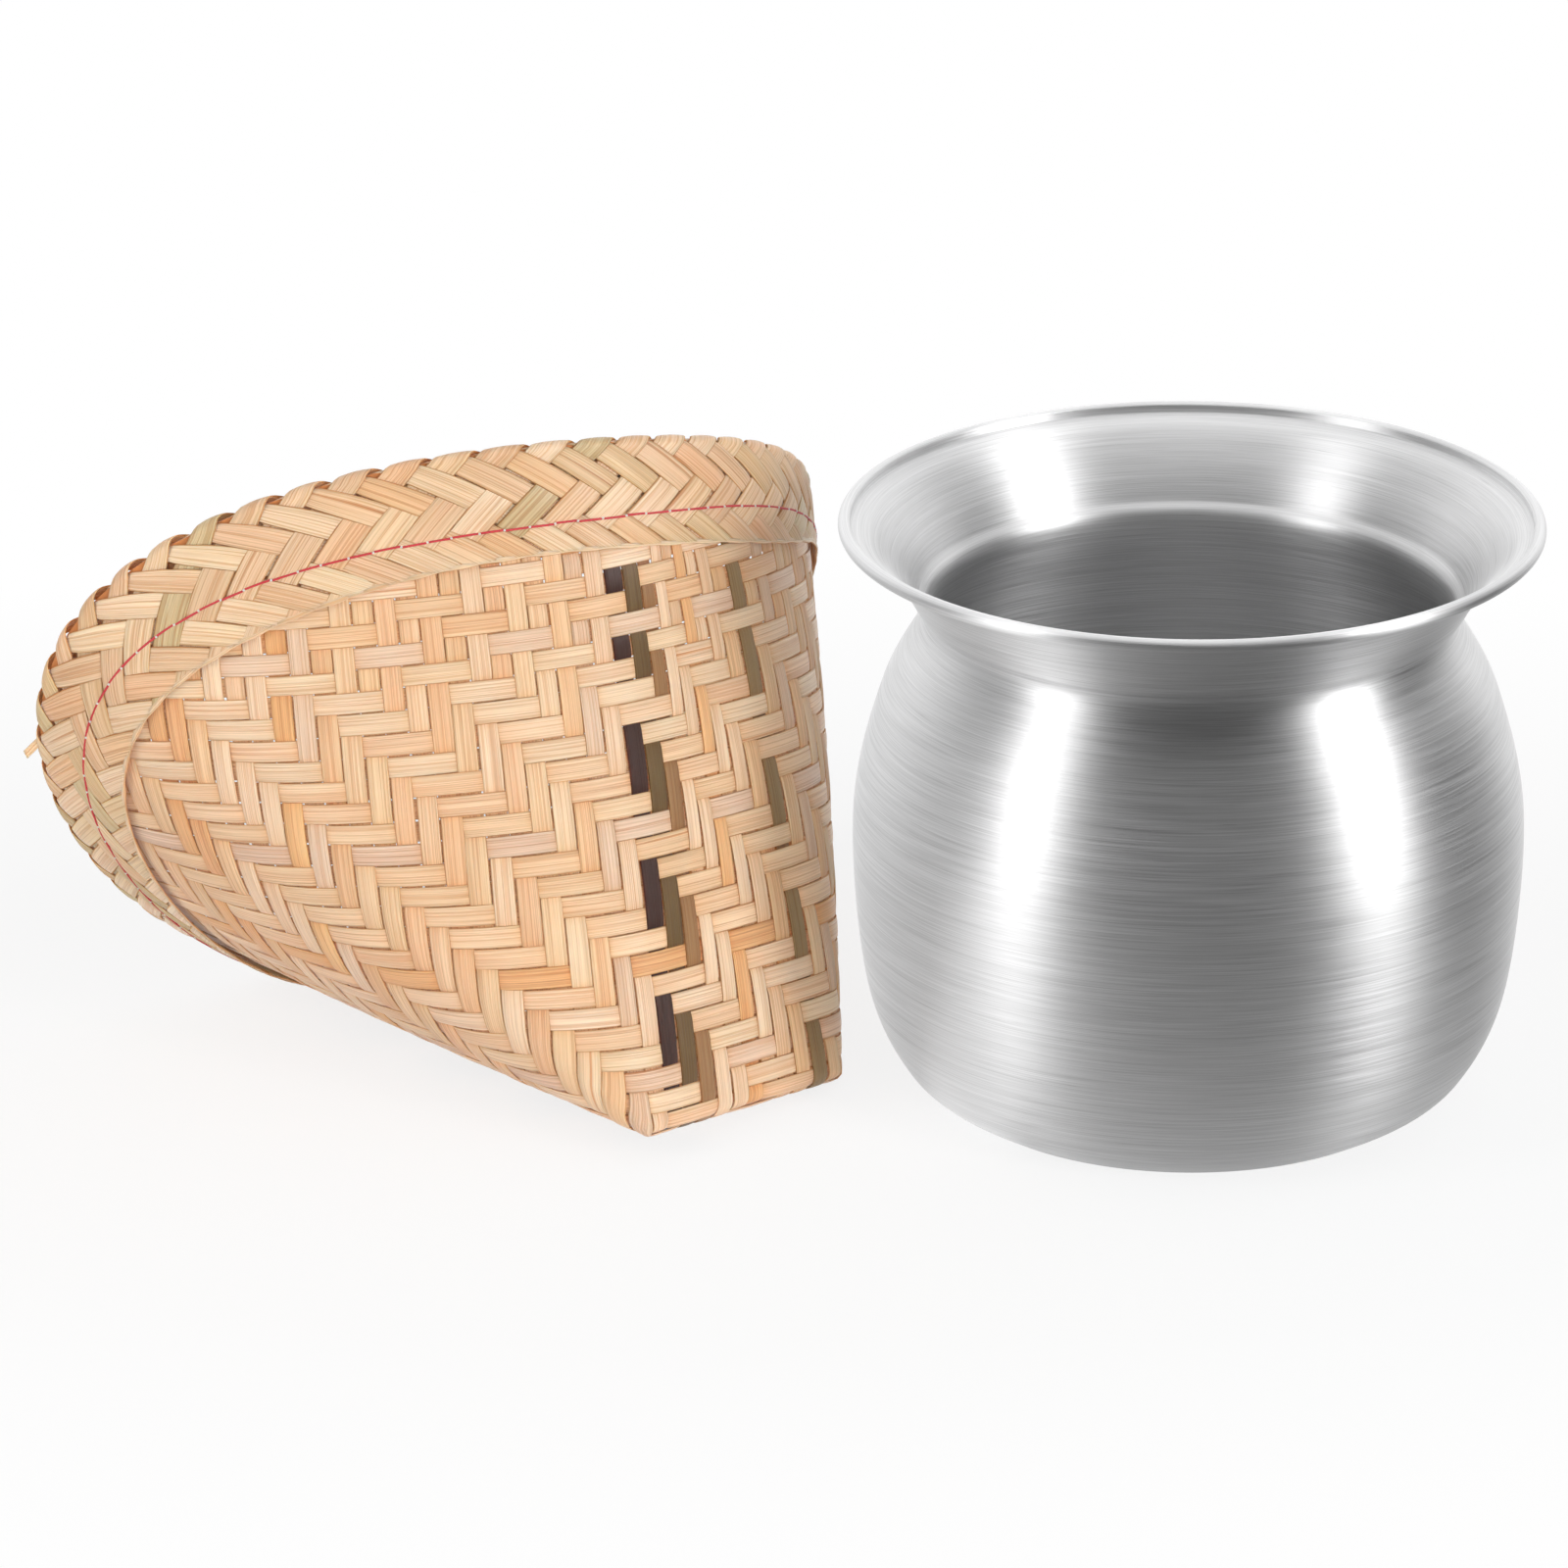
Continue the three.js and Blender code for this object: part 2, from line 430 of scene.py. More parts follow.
class Panel:
    """Finds the place on the wall of a point of the flat pattern. side is 1 for the upper panel."""

    def __init__(self, side):
        self.side = side
        self.swing = np.linspace(0, math.pi, turn_steps + 1)
        low, ray = ruling(math.pi / 2 + side * self.swing)[:2]
        bends = np.arccos(np.clip((ray[1:] * ray[:-1]).sum(-1), -1, 1))
        swept = np.concatenate([[0], np.cumsum(bends)])
        middle = swept[turn_steps // 2]
        past = 1 + (swept - middle) / (swept[-1] - middle)
        share = np.where(self.swing < math.pi / 2, swept / middle, past)
        self.lean = math.radians(90 + corner_lean) - math.radians(corner_lean) * share
        base = -low[:, 1]
        slant = 1 / np.tan(self.lean)
        across = np.linspace(-1, 1, panel_columns + 1)
        self.grid = np.zeros((panel_columns + 1, panel_reach + 1))
        for y in range(panel_reach + 1):
            self.grid[:, y] = np.interp(across * (fold_length / 2 + y), base + y * slant, self.swing)

    def find(self, x, y):
        column = (np.clip(x / (fold_length / 2 + y), -1, 1) + 1) / 2 * panel_columns
        i = np.clip(np.floor(column).astype(int), 0, panel_columns - 1)
        j = np.clip(np.floor(y).astype(int), 0, panel_reach - 1)
        a, b = column - i, y - j
        swing = (
            self.grid[i, j] * (1 - a) * (1 - b)
            + self.grid[i + 1, j] * a * (1 - b)
            + self.grid[i, j + 1] * (1 - a) * b
            + self.grid[i + 1, j + 1] * a * b
        )
        run = y / np.sin(np.interp(swing, self.swing, self.lean))
        return math.pi / 2 + self.side * swing, run


upper_panel = Panel(1)
under_panel = Panel(-1)


def row_places(home, other, middle):
    """Places of a strip that crosses its home panel at a height and climbs the other past each corner."""

    def locate(along, across):
        height = np.maximum(middle + across + 0 * along, least_height)
        edge = fold_length / 2 + height
        at_home = np.abs(along) <= edge
        past = np.maximum(np.abs(along) - fold_length / 2, height)
        turn_a, run_a = home.find(np.clip(along, -edge, edge), height)
        turn_b, run_b = other.find(np.sign(along) * edge, past)
        return np.where(at_home, turn_a, turn_b), np.where(at_home, run_a, run_b)

    return locate


def fold_places(middle):
    """Places of a strip that comes down the upper panel, rounds the fold and climbs the other."""

    def locate(along, across):
        column = middle + across + 0 * along
        turn_a, run_a = upper_panel.find(column, np.abs(along))
        turn_b, run_b = under_panel.find(column, np.abs(along))
        return np.where(along >= 0, turn_a, turn_b), np.where(along >= 0, run_a, run_b)

    return locate


# Over and under. A sequence is 1 where its strip lies outside and -1 where it lies inside.

def float_start(row):
    """Column where a float of that row starts. The twill steps one strip a row, then two."""
    return 1 - row if row <= loose_row else 1 - loose_row - 2 * (row - loose_row)


def row_is_over(row, column):
    return (column - float_start(row)) % twill < twill // 2


def under_row_is_over(row, column):
    return (column + row + 1) % twill < twill // 2


def signs(overs):
    return np.array([1.0 if over else -1.0 for over in overs])


def upper_sequence(row):
    columns = range(-spare_crossings, fold_strips + spare_crossings)
    return signs(row_is_over(row, column) for column in columns)


def under_sequence(row):
    overs = []
    for column in range(-spare_crossings, fold_strips + spare_crossings):
        if column < 0:
            overs.append(not row_is_over(-1 - column, -1 - row))
        elif column >= fold_strips:
            overs.append(not row_is_over(column - fold_strips, fold_strips + row))
        else:
            overs.append(under_row_is_over(row, column))
    return signs(overs)


def fold_sequence(column):
    overs = []
    for row in range(-spare_crossings, spare_crossings):
        crossed = row_is_over(row, column) if row >= 0 else under_row_is_over(-1 - row, column)
        overs.append(not crossed)
    return signs(overs)


def lift_along(sequence, station):
    """Height of a strip over the middle of the weave: its soft steps, and the arch of each float."""
    inner = station - 0.5
    low = np.clip(np.floor(inner).astype(int), 0, len(sequence) - 2)
    share = inner - low
    step = np.clip((share - 0.5) / step_softness + 0.5, 0, 1)
    step = step * step * (3 - 2 * step)
    flat = sequence[low] * (1 - step) + sequence[low + 1] * step
    soft = np.convolve(np.pad(sequence, 1, mode="edge"), [1 / 3] * 3, "valid")
    arch = soft[low] * (1 - share) + soft[low + 1] * share
    return strip_lift * flat, float_lift * arch


# Meshes.

class Skin:
    """Gathers closed strips into one mesh, with a colour and a place along the strip for each point."""

    def __init__(self):
        self.points, self.faces, self.places, self.tints = [], [], [], []
        self.count = 0

    def add(self, rings, places, tint, side_to_face=None):
        """Adds one strip by the rings of its points. worn goes from 0 on its cut sides to 1 on its face."""
        rows, sides = rings.shape[:2]
        grid = np.arange(rows * sides).reshape(rows, sides) + self.count
        a, b = grid[:-1], grid[1:]
        quads = np.stack([a, np.roll(a, -1, 1), np.roll(b, -1, 1), b], -1).reshape(-1, 4)
        caps = [grid[0][::-1].tolist(), grid[-1].tolist()]
        flat = rings.reshape(-1, 3)
        # The faces are turned over where the first one of the middle ring looks inwards.
        p = flat[quads[(rows // 2) * sides] - self.count]
        facing = np.cross(p[2] - p[0], p[3] - p[1]) @ (p.mean(0) - rings[rows // 2].mean(0))
        if facing < 0:
            quads = quads[:, ::-1]
            caps = [cap[::-1] for cap in caps]
        self.points.append(flat)
        self.faces += quads.tolist() + caps
        self.places.append(places.reshape(-1, 2))
        tint = np.array(tint, float)
        tints = np.ones((rows, sides, 4)) * (tint[:, None] if tint.ndim == 2 else tint)
        if side_to_face is not None:
            tints[..., 3] = side_to_face
        self.tints.append(tints.reshape(-1, 4))
        self.count += rows * sides

    def build(self, name, material):
        mesh = bpy.data.meshes.new(name)
        mesh.from_pydata(np.concatenate(self.points).tolist(), [], self.faces)
        corners = np.zeros(len(mesh.loops), int)
        mesh.loops.foreach_get("vertex_index", corners)
        layer = mesh.uv_layers.new(name="strip")
        layer.data.foreach_set("uv", np.concatenate(self.places)[corners].astype(np.float32).ravel())
        tint = mesh.color_attributes.new("tint", "FLOAT_COLOR", "POINT")
        tint.data.foreach_set("color", np.concatenate(self.tints).astype(np.float32).ravel())
        mesh.polygons.foreach_set("use_smooth", [True] * len(mesh.polygons))
        mesh.materials.append(material)
        piece = bpy.data.objects.new(name, mesh)
        bpy.context.scene.collection.objects.link(piece)
        mesh.update()
        return piece


# Points round a strip's section: place across as a share of half its width, and top or underside.
section = [
    (-1, -0.25), (-0.88, 0.8), (-0.45, 1), (0, 1), (0.45, 1), (0.88, 0.8), (1, -0.25), (0.5, -1), (-0.5, -1)
]
# How far each of those points is from the cut sides, which are rawer in colour; that colour also paints warm
# shade into the gaps between strips.
section_face = [0.0, 0.9, 1.0, 1.0, 1.0, 0.9, 0.0, 0.85, 0.85]


def section_height(across, face, thickness, crown):
    """Height of a point of the section above the middle of the strip."""
    return thickness / 2 * face + crown * (1 - across * across)


def strip_places(along, width, seed=0, shift=(0, 0)):
    """Place of each point on its own strip, in metres, shifted so that no two strips share their grain."""
    down = along * MM + seed * shift[0]
    sides = [across * width / 2 * MM + seed * shift[1] for across, _ in section]
    return np.stack([np.stack([down, np.full(len(down), side)], -1) for side in sides], 1)


def pick_tint(rng, kinds):
    """One colour of split bamboo out of some kinds, each with its share, and never quite the same."""
    pick = rng.choice(len(kinds), p=[share for _, share in kinds])
    lighter = rng.uniform(-tint_spread, tint_spread)
    return srgb(*(np.array(kinds[pick][0]) + lighter + rng.uniform(-tint_cast, tint_cast, 3)))


# Weave.

def run_inside(locate):
    """Distances along a strip, from where it comes out from under the band to where it goes back."""
    along = np.arange(-half_strip_reach, half_strip_reach + 0.1, sample_step)
    turn, run = locate(along, 0.0)
    inside = run < wall_run(turn) - edge_depth
    first = last = len(along) // 2
    if not inside[first]:
        return None
    while first > 0 and inside[first - 1]:
        first -= 1
    while last < len(along) - 1 and inside[last + 1]:
        last += 1
    return along[first : last + 1]


def weave_strip(skin, locate, station, sequence, width, tint, seed):
    """Adds one strip of the wall: locate gives its places on the wall, and station its crossings."""
    along = run_inside(locate)
    if along is None:
        return
    rng = np.random.default_rng(seed)
    wobble = 0
    for _ in range(wander_waves):
        size, length, start = rng.uniform(-1, 1), rng.uniform(*wander_lengths), rng.uniform(0, 6.28)
        wobble = wobble + size * np.sin(along / length + start)
    slack = rng.uniform(*width_shares)
    step, arch = lift_along(sequence, station(along))
    rise = step + arch + ripple * np.roll(wobble, 7)
    rings = []
    for across, face in section:
        turn, run = locate(along, across * slack * width / 2 + wander * wobble)
        points, normals = wall_skin(turn, run)
        height = strip_depth + rise + section_height(across, face, strip_thickness, strip_crown)
        rings.append(points + normals * height[:, None])
    # The strip's colour gets painted shade where it dips under the others and a painted highlight where it
    # rises over them.
    crest = np.clip((rise + strip_lift) / (2 * strip_lift + float_lift), 0, 1)[:, None]
    shade = painted_dip_shade * (1 - crest) + painted_crest_highlight * crest
    places = strip_places(along, width, seed, wall_grain_shift)
    skin.add(to_world(np.stack(rings, 1)), places, np.array(tint) * shade, section_face)


def row_station(along):
    """How many strips a row has crossed at each distance along it."""
    half = fold_length / 2
    beyond = np.maximum(np.abs(along) - half, 0) / row_pitch
    columns = np.clip(along, -half, half) / fold_pitch + fold_strips / 2
    return columns + np.sign(along) * beyond + spare_crossings


def fold_station(along):
    return along / row_pitch + spare_crossings


def make_weave(material):
    rng = np.random.default_rng(weave_seed)
    upper, under, folded = Skin(), Skin(), Skin()
    for row in range(weave_rows):
        height = (row + 0.5) * row_pitch
        for skin, home, other, sequence, seed in (
            (upper, upper_panel, under_panel, upper_sequence(row), upper_seed + row),
            (under, under_panel, upper_panel, under_sequence(row), under_seed + row),
        ):
            tint = pick_tint(rng, wall_kinds)
            places = row_places(home, other, height)
            weave_strip(skin, places, row_station, sequence, strip_width, tint, seed)
    for column in range(fold_strips):
        places = fold_places((column + 0.5) * fold_pitch - fold_length / 2)
        tint = srgb(*dyed[column]) if column in dyed else pick_tint(rng, wall_kinds)
        seed = fold_seed + column
        weave_strip(folded, places, fold_station, fold_sequence(column), fold_strip_width, tint, seed)
    return [
        upper.build("weave_upper_rows", material),
        under.build("weave_under_rows", material),
        folded.build("weave_fold_strips", material),
    ]


# Band.

class Rim:
    """Measures round the mouth: turn from distance, and points of the band by distance round and down."""

    def __init__(self):
        self.turn = np.linspace(0, 2 * math.pi, 2 * turn_steps + 1)
        points = wall_at(self.turn, wall_run(self.turn) - band_height / 2)
        steps = np.linalg.norm(np.diff(points, axis=0), axis=-1)
        self.length = np.concatenate([[0], np.cumsum(steps)])
        self.total = self.length[-1]

    def turn_at(self, around):
        return np.interp(np.mod(around, self.total), self.length, self.turn)

    def high(self, turn):
        """Height of the band outside the wall, which varies round the mouth."""
        height = band_height
        for middle, spread, size in band_humps:
            height = height + size * hump(turn, math.radians(middle), spread)
        return height

    def raw(self, turn, down, out):
        """down is measured from the top of the fold: outside where it is above zero, inside below."""
        radius = (band_outer - band_inner) / 2
        middle = (band_outer + band_inner) / 2
        angle = np.clip(down / radius, -math.pi / 2, math.pi / 2)
        straight = np.maximum(np.abs(down) - radius * math.pi / 2, 0)
        offset = middle + (radius + out) * np.sin(angle)
        depth = band_top + radius - (radius + out) * np.cos(angle) + straight
        points, normals = wall_skin(turn, wall_run(turn) - depth)
        return points + normals * offset[..., None]


rim = Rim()
strip_spacing = rim.total / band_strips
band_slope = band_row / strip_spacing


def plait_strip(skin, index, way, tint, seed):
    """Adds one strip of the plait: way is 1 where it goes down to the right, -1 to the left."""
    start = index * strip_spacing
    foot = rim.turn_at(start + way * (band_height - band_start) / band_slope)
    end = float(rim.high(foot))
    down = np.append(np.arange(-band_inner_height, end, band_step * band_slant), end)
    sideways = way * (down - band_start) / band_slope
    rng = np.random.default_rng(seed)
    drift = rng.uniform(-band_wander, band_wander)
    slack = rng.uniform(*band_width_shares)
    loose = hump(rim.turn_at(start + sideways), math.radians(loose_turn), loose_spread)
    narrow = 1 - (narrow_share[0] + narrow_share[1] * loose) * hump(down, edge_middle, narrow_spread)
    parted = (edge_lift[0] + edge_lift[1] * loose) * hump(down, edge_middle, edge_spread)
    near_foot = np.clip(1 - (end - down) / foot_reach, 0, 1) ** 2
    half = band_strip_width / 2 / band_slant * slack * narrow
    rings = []
    for across, face in section:
        around = start + sideways + across * half + drift
        # How many strips of the other way this one has crossed says which of the two lies on top.
        crossed = way * ((around + sideways) / strip_spacing - index)
        over = np.cos((crossed - 0.5) * math.pi / 2)
        wave = np.sin(np.clip(over * band_steepness, -1, 1) * math.pi / 2)
        # At its foot a strip follows the edge of the band and stands clear of the wall.
        lift = (band_lift * wave + (band_float + parted) * over) * way
        lift = lift * (1 - foot_calm * near_foot) + foot_lift * near_foot
        height = lift + section_height(across, face, band_thickness, band_crown)
        turn = rim.turn_at(around)
        rings.append(rim.raw(turn, down + (rim.high(turn) - end) * near_foot, height))
    places = strip_places(down / band_slant, band_strip_width, seed, band_grain_shift)
    skin.add(to_world(np.stack(rings, 1)), places, tint, section_face)


def add_stray_end(skin):
    """The loose end of a strip, which pokes out of the rim at the left."""
    turn = np.array([math.radians(stray_turn)])
    root = to_world(rim.raw(turn, np.array([stray_down]), np.array([stray_sunk])))[0]
    share = np.linspace(0, 1, stray_steps)
    path = root + share[:, None] * np.array(stray_reach) * MM
    path[:, 2] -= stray_sag * MM * share**2
    rings = []
    for across, face in section:
        offset = across * stray_width / 2 * stray_broad + band_thickness / 2 * face * stray_facing
        rings.append(path + offset * MM)
    places = strip_places(share * stray_length, stray_width)
    skin.add(np.stack(rings, 1), places, srgb(*stray_colour), section_face)


def add_hem(skin):
    """The edge of the band on the wall, where its strips fold back: one line all the way round."""
    around = np.linspace(0, rim.total, hem_steps)
    turn = np.interp(around, rim.length, rim.turn)
    sway = np.cos(2 * math.pi * around / strip_spacing)
    rings = []
    for across, face in section:
        down = rim.high(turn) - hem_sway + hem_sway * sway + across * hem_width / 2
        height = hem_lift + hem_ripple * sway + section_height(across, face, hem_thickness, band_crown)
        rings.append(rim.raw(turn, down, height))
    skin.add(to_world(np.stack(rings, 1)), strip_places(around, hem_width), srgb(*hem_colour), section_face)


def make_band(material):
    rng = np.random.default_rng(band_seed)
    right, left = Skin(), Skin()
    for index in range(band_strips):
        plait_strip(right, index, 1, pick_tint(rng, band_kinds), right_seed + index)
        plait_strip(left, index, -1, pick_tint(rng, band_kinds), left_seed + index)
    add_stray_end(left)
    add_hem(right)
    return [right.build("plait_right_strips", material), left.build("plait_left_strips", material)]


# Thread.

def stitch_depth(turn):
    return stitch_high + stitch_drop * np.cos(turn - math.radians(stitch_drop_turn)) ** 2


def facing_at_stitch(turn):
    """The direction that the wall faces under the line of stitches."""
    return wall_skin(turn, wall_run(turn) - stitch_depth(turn))[1]


def tube(path, radius):
    """Rings round a path of points, drawn in at both ends."""
    ahead = unit(np.gradient(path, axis=0))
    side = unit(np.cross(ahead, thread_side))
    up = np.cross(side, ahead)
    size = np.full(len(path), radius)
    size[0] = size[-1] = radius * thread_end_share
    turns = np.linspace(0, 2 * math.pi, thread_sides, endpoint=False)
    outward = np.cos(turns)[None, :, None] * side[:, None] + np.sin(turns)[None, :, None] * up[:, None]
    return path[:, None] + size[:, None, None] * outward


def make_stitching(red, white):
    """Red stitches outside and white ones inside, with a small white loop where they lock."""
    reds, whites = Skin(), Skin()
    rng = np.random.default_rng(thread_seed)
    marks = (np.arange(stitches + 1) + rng.uniform(-stitch_jitter, stitch_jitter, stitches + 1)) / stitches
    marks[-1] = marks[0] + 1
    dive = np.array([0, stitch_dive / 2, stitch_dive])
    share = np.concatenate([dive, np.linspace(0.15, 0.85, 8), 1 - dive[::-1]])
    proud = thread_sunk + thread_rise * np.clip(np.minimum(share, 1 - share) / stitch_dive, 0, 1)
    for mark, following in zip(marks, marks[1:]):
        around = (mark + (following - mark) * share) * rim.total
        turn = rim.turn_at(around)
        for face, skin in ((1, reds), (-1, whites)):
            down = face * (stitch_depth(turn) + stitch_offset) + rng.uniform(-stitch_wander, stitch_wander)
            path = rim.raw(turn, down, np.zeros(len(share)))
            path = path + facing_at_stitch(turn) * face * proud[:, None]
            rings = tube(path, thread_radius)
            places = np.zeros((*rings.shape[:2], 2))
            places[..., 0] = (around * MM)[:, None]
            places[..., 1] = np.linspace(0, 1, thread_sides) * MM
            skin.add(to_world(rings), places, WHITE)
        loop = rim.turn_at(loop_steps + around[0])
        path = rim.raw(loop, np.full(len(loop), stitch_depth(turn[0]) + stitch_offset), np.zeros(len(loop)))
        path = path + facing_at_stitch(turn[:1]) * loop_rise[:, None]
        rings = tube(path, loop_radius)
        whites.add(to_world(rings), np.zeros((*rings.shape[:2], 2)), WHITE)
    return reds.build("red_stitching", red), whites.build("white_under_thread", white)


# Pot.

def bead_point(angle):
    turn = math.radians(angle)
    radius = lip_radius - bead_radius + bead_radius * math.cos(turn)
    return radius, lip_height + bead_radius * math.sin(turn)


def spline(points, t):
    """A Catmull-Rom curve through points, with its ends repeated."""
    points = np.array(points, float)
    place = (len(points) - 1) * t
    i = min(int(place), len(points) - 2)
    w = place - i
    p0, p1 = points[max(i - 1, 0)], points[i]
    p2, p3 = points[i + 1], points[min(i + 2, len(points) - 1)]
    v0, v1 = (p2 - p0) / 2, (p3 - p1) / 2
    return (2 * p1 - 2 * p2 + v0 + v1) * w**3 + (-3 * p1 + 3 * p2 - 2 * v0 - v1) * w**2 + v0 * w + p1


def pot_profile():
    """Radius and height along the pot: out under the base, up outside, over the lip and down inside."""
    flare_out = lip_radius - bead_radius - neck_radius
    flare_up = lip_height - neck_height
    flare = [(neck_radius + out * flare_out, neck_height + up * flare_up) for out, up in flare_shares]
    marks = [
        (base_radius, 0),
        (heel_radius, heel_height),
        (flank_radius, flank_height),
        (belly_radius, belly_height),
        (shoulder_radius, shoulder_height),
        (neck_radius, neck_height),
        *flare,
        bead_point(bead_start),
    ]
    outside = np.array([spline(marks, i / profile_steps) for i in range(profile_steps + 1)])
    along = unit(np.gradient(outside, axis=0))
    inside = outside + pot_wall * np.stack([-along[:, 1], along[:, 0]], -1)
    inside[:, 1] = np.maximum(inside[:, 1], pot_wall)
    return [
        (0, 0),
        (base_radius * 0.5, 0),
        (base_radius - base_rounding, 0),
        *outside,
        *[bead_point(angle) for angle in bead_angles],
        *inside[-2:0:-1],
        (base_radius - pot_wall - base_inner_rounding, pot_wall),
        (base_radius * 0.5, pot_wall),
        (0, pot_wall),
    ]


def make_pot(material):
    """One point, extruded along the profile and then spun round the upright axis."""
    profile = [Vector((radius, 0, height)) * MM for radius, height in pot_profile()]
    bpy.ops.object.select_all(action="DESELECT")
    bpy.ops.mesh.primitive_plane_add(size=pot_wall * MM, location=profile[0])
    bpy.ops.object.transform_apply(location=True, rotation=False, scale=False)
    pot = bpy.context.object
    pot.name = pot.data.name = "spun_pot"
    bpy.ops.object.mode_set(mode="EDIT")
    bpy.ops.mesh.merge(type="CENTER")
    for here, there in zip(profile, profile[1:]):
        bpy.ops.mesh.extrude_region_move(TRANSFORM_OT_translate={"value": there - here})
    bpy.ops.mesh.select_all(action="SELECT")
    bpy.ops.mesh.spin(steps=pot_steps, angle=2 * math.pi, center=(0, 0, 0), axis=(0, 0, 1))
    bpy.ops.mesh.select_all(action="SELECT")
    bpy.ops.mesh.remove_doubles(threshold=merge_distance * MM)
    bpy.ops.mesh.normals_make_consistent(inside=False)
    bpy.ops.object.mode_set(mode="OBJECT")
    bpy.ops.object.shade_smooth()
    pot.data.materials.append(material)
    return pot


# Nodes. An input is another node's socket or a plain value.

def feed(tree, node, inputs):
    for label, source in inputs.items():
        if isinstance(source, bpy.types.NodeSocket):
            tree.links.new(source, node.inputs[label])
        else:
            node.inputs[label].default_value = source


def add_node(tree, kind, inputs, **props):
    node = tree.nodes.new("ShaderNode" + kind)
    for key, value in props.items():
        setattr(node, key, value)
    feed(tree, node, inputs)
    return node


def arithmetic(tree, operation, first, second):
    return add_node(tree, "Math", {0: first, 1: second}, operation=operation).outputs[0]


def between(tree, value, low, high):
    """A mask that climbs smoothly from 0 at the low value to 1 at the high one."""
    inputs = {"Value": value, "From Min": low, "From Max": high}
    return add_node(tree, "MapRange", inputs, interpolation_type="SMOOTHSTEP").outputs[0]


def mapped(tree, value, given, wanted):
    """A value taken from one range to another, and kept within it."""
    inputs = {"Value": value}
    inputs.update(zip(("From Min", "From Max", "To Min", "To Max"), (*given, *wanted)))
    return add_node(tree, "MapRange", inputs).outputs[0]


def mixed(tree, mask, low, high):
    """One number where the mask is 0, the other where it is 1."""
    return add_node(tree, "Mix", {0: mask, 2: low, 3: high}).outputs[0]


def masked(tree, mask, low, high):
    """One colour where the mask is 0, the other where it is 1."""
    return add_node(tree, "Mix", {0: mask, 6: low, 7: high}, data_type="RGBA").outputs[2]


def multiply(tree, colour, shade):
    inputs = {0: 1.0, 6: colour, 7: shade}
    return add_node(tree, "Mix", inputs, data_type="RGBA", blend_type="MULTIPLY").outputs[2]


def ramp(tree, source, stops):
    """A colour or a grey for each place of a value."""
    node = add_node(tree, "ValToRGB", {0: source})
    elements = node.color_ramp.elements
    for element, (place, shade) in zip(elements, stops):
        element.position = place
        element.color = shade if isinstance(shade, tuple) else (shade, shade, shade, 1)
    return node.outputs[0]


def stretched_noise(tree, place, size, detail):
    spread = add_node(tree, "Mapping", {"Vector": place, "Scale": size}).outputs[0]
    inputs = {"Vector": spread, "Scale": 1.0, "Detail": detail, "Roughness": 0.5}
    return add_node(tree, "TexNoise", inputs).outputs[0]


def new_group(name, inputs, outputs):
    """An empty node group with its named sockets, and its own input and output nodes."""
    group = bpy.data.node_groups.new(name, "ShaderNodeTree")
    for way, sockets in (("INPUT", inputs), ("OUTPUT", outputs)):
        for label, kind in sockets.items():
            group.interface.new_socket(name=label, in_out=way, socket_type="NodeSocket" + kind)
    return group, group.nodes.new("NodeGroupInput").outputs, group.nodes.new("NodeGroupOutput")


def new_material(name):
    material = bpy.data.materials.new(name)
    material.use_nodes = True
    tree = material.node_tree
    tree.nodes.clear()
    out = tree.nodes.new("ShaderNodeOutputMaterial")
    shader = tree.nodes.new("ShaderNodeBsdfPrincipled")
    tree.links.new(shader.outputs[0], out.inputs[0])
    return material, tree, shader


# Materials.

def make_bamboo_grain():
    """Split bamboo: fibres along the strip, tinted lines between them, raw sides and underside. The raw
    colour of the cut sides also paints warm shade into the gaps between strips.
    """
    group, given, put = new_group(
        "bamboo_grain",
        {
            "Place": "Vector",
            "Tint": "Color",
            "Outer Face": "Float",
            "Line Colour": "Color",
            "Raw Side And Painted Gap Shade": "Color",
            "Split Colour": "Color",
            "Split Amount": "Float",
        },
        {"Color": "Color", "Height": "Float", "Roughness": "Float"},
    )
    place = given["Place"]
    fine = stretched_noise(group, place, fine_grain, 2.0)
    fibre = stretched_noise(group, place, fibre_grain, 2.0)
    slow = stretched_noise(group, place, slow_grain, 1.0)
    crack = stretched_noise(group, place, split_grain, 0.0)
    fine_shade = ramp(group, fine, [(0.34, (0.87, 0.84, 0.81, 1)), (0.62, (1.07, 1.07, 1.07, 1))])
    slow_shade = ramp(group, slow, [(0.3, (0.95, 0.92, 0.88, 1)), (0.64, (1.04, 1.04, 1.04, 1))])
    lines = between(group, fibre, 0.41, 0.51)
    lip = arithmetic(group, "ADD", given["Split Amount"], 0.03)
    whole = between(group, crack, given["Split Amount"], lip)
    outer = between(group, given["Outer Face"], 0.05, 0.85)
    colour = multiply(group, given["Tint"], fine_shade)
    colour = multiply(group, colour, masked(group, lines, given["Line Colour"], WHITE))
    colour = multiply(group, colour, slow_shade)
    colour = multiply(group, colour, masked(group, whole, given["Split Colour"], WHITE))
    # The cut sides take the raw colour: partly the raw cut of the bamboo, partly painted warm shade in the
    # gaps between strips.
    colour = multiply(group, colour, masked(group, outer, given["Raw Side And Painted Gap Shade"], WHITE))
    height = arithmetic(group, "MULTIPLY", arithmetic(group, "ADD", fine, lines), whole)
    # The underside of a strip is matt.
    smooth_side = between(group, given["Outer Face"], 0.86, 0.9)
    rough = mixed(group, smooth_side, 0.95, mapped(group, fibre, (0, 1), (0.36, 0.54)))
    feed(group, put, {"Color": colour, "Height": height, "Roughness": rough})
    return group


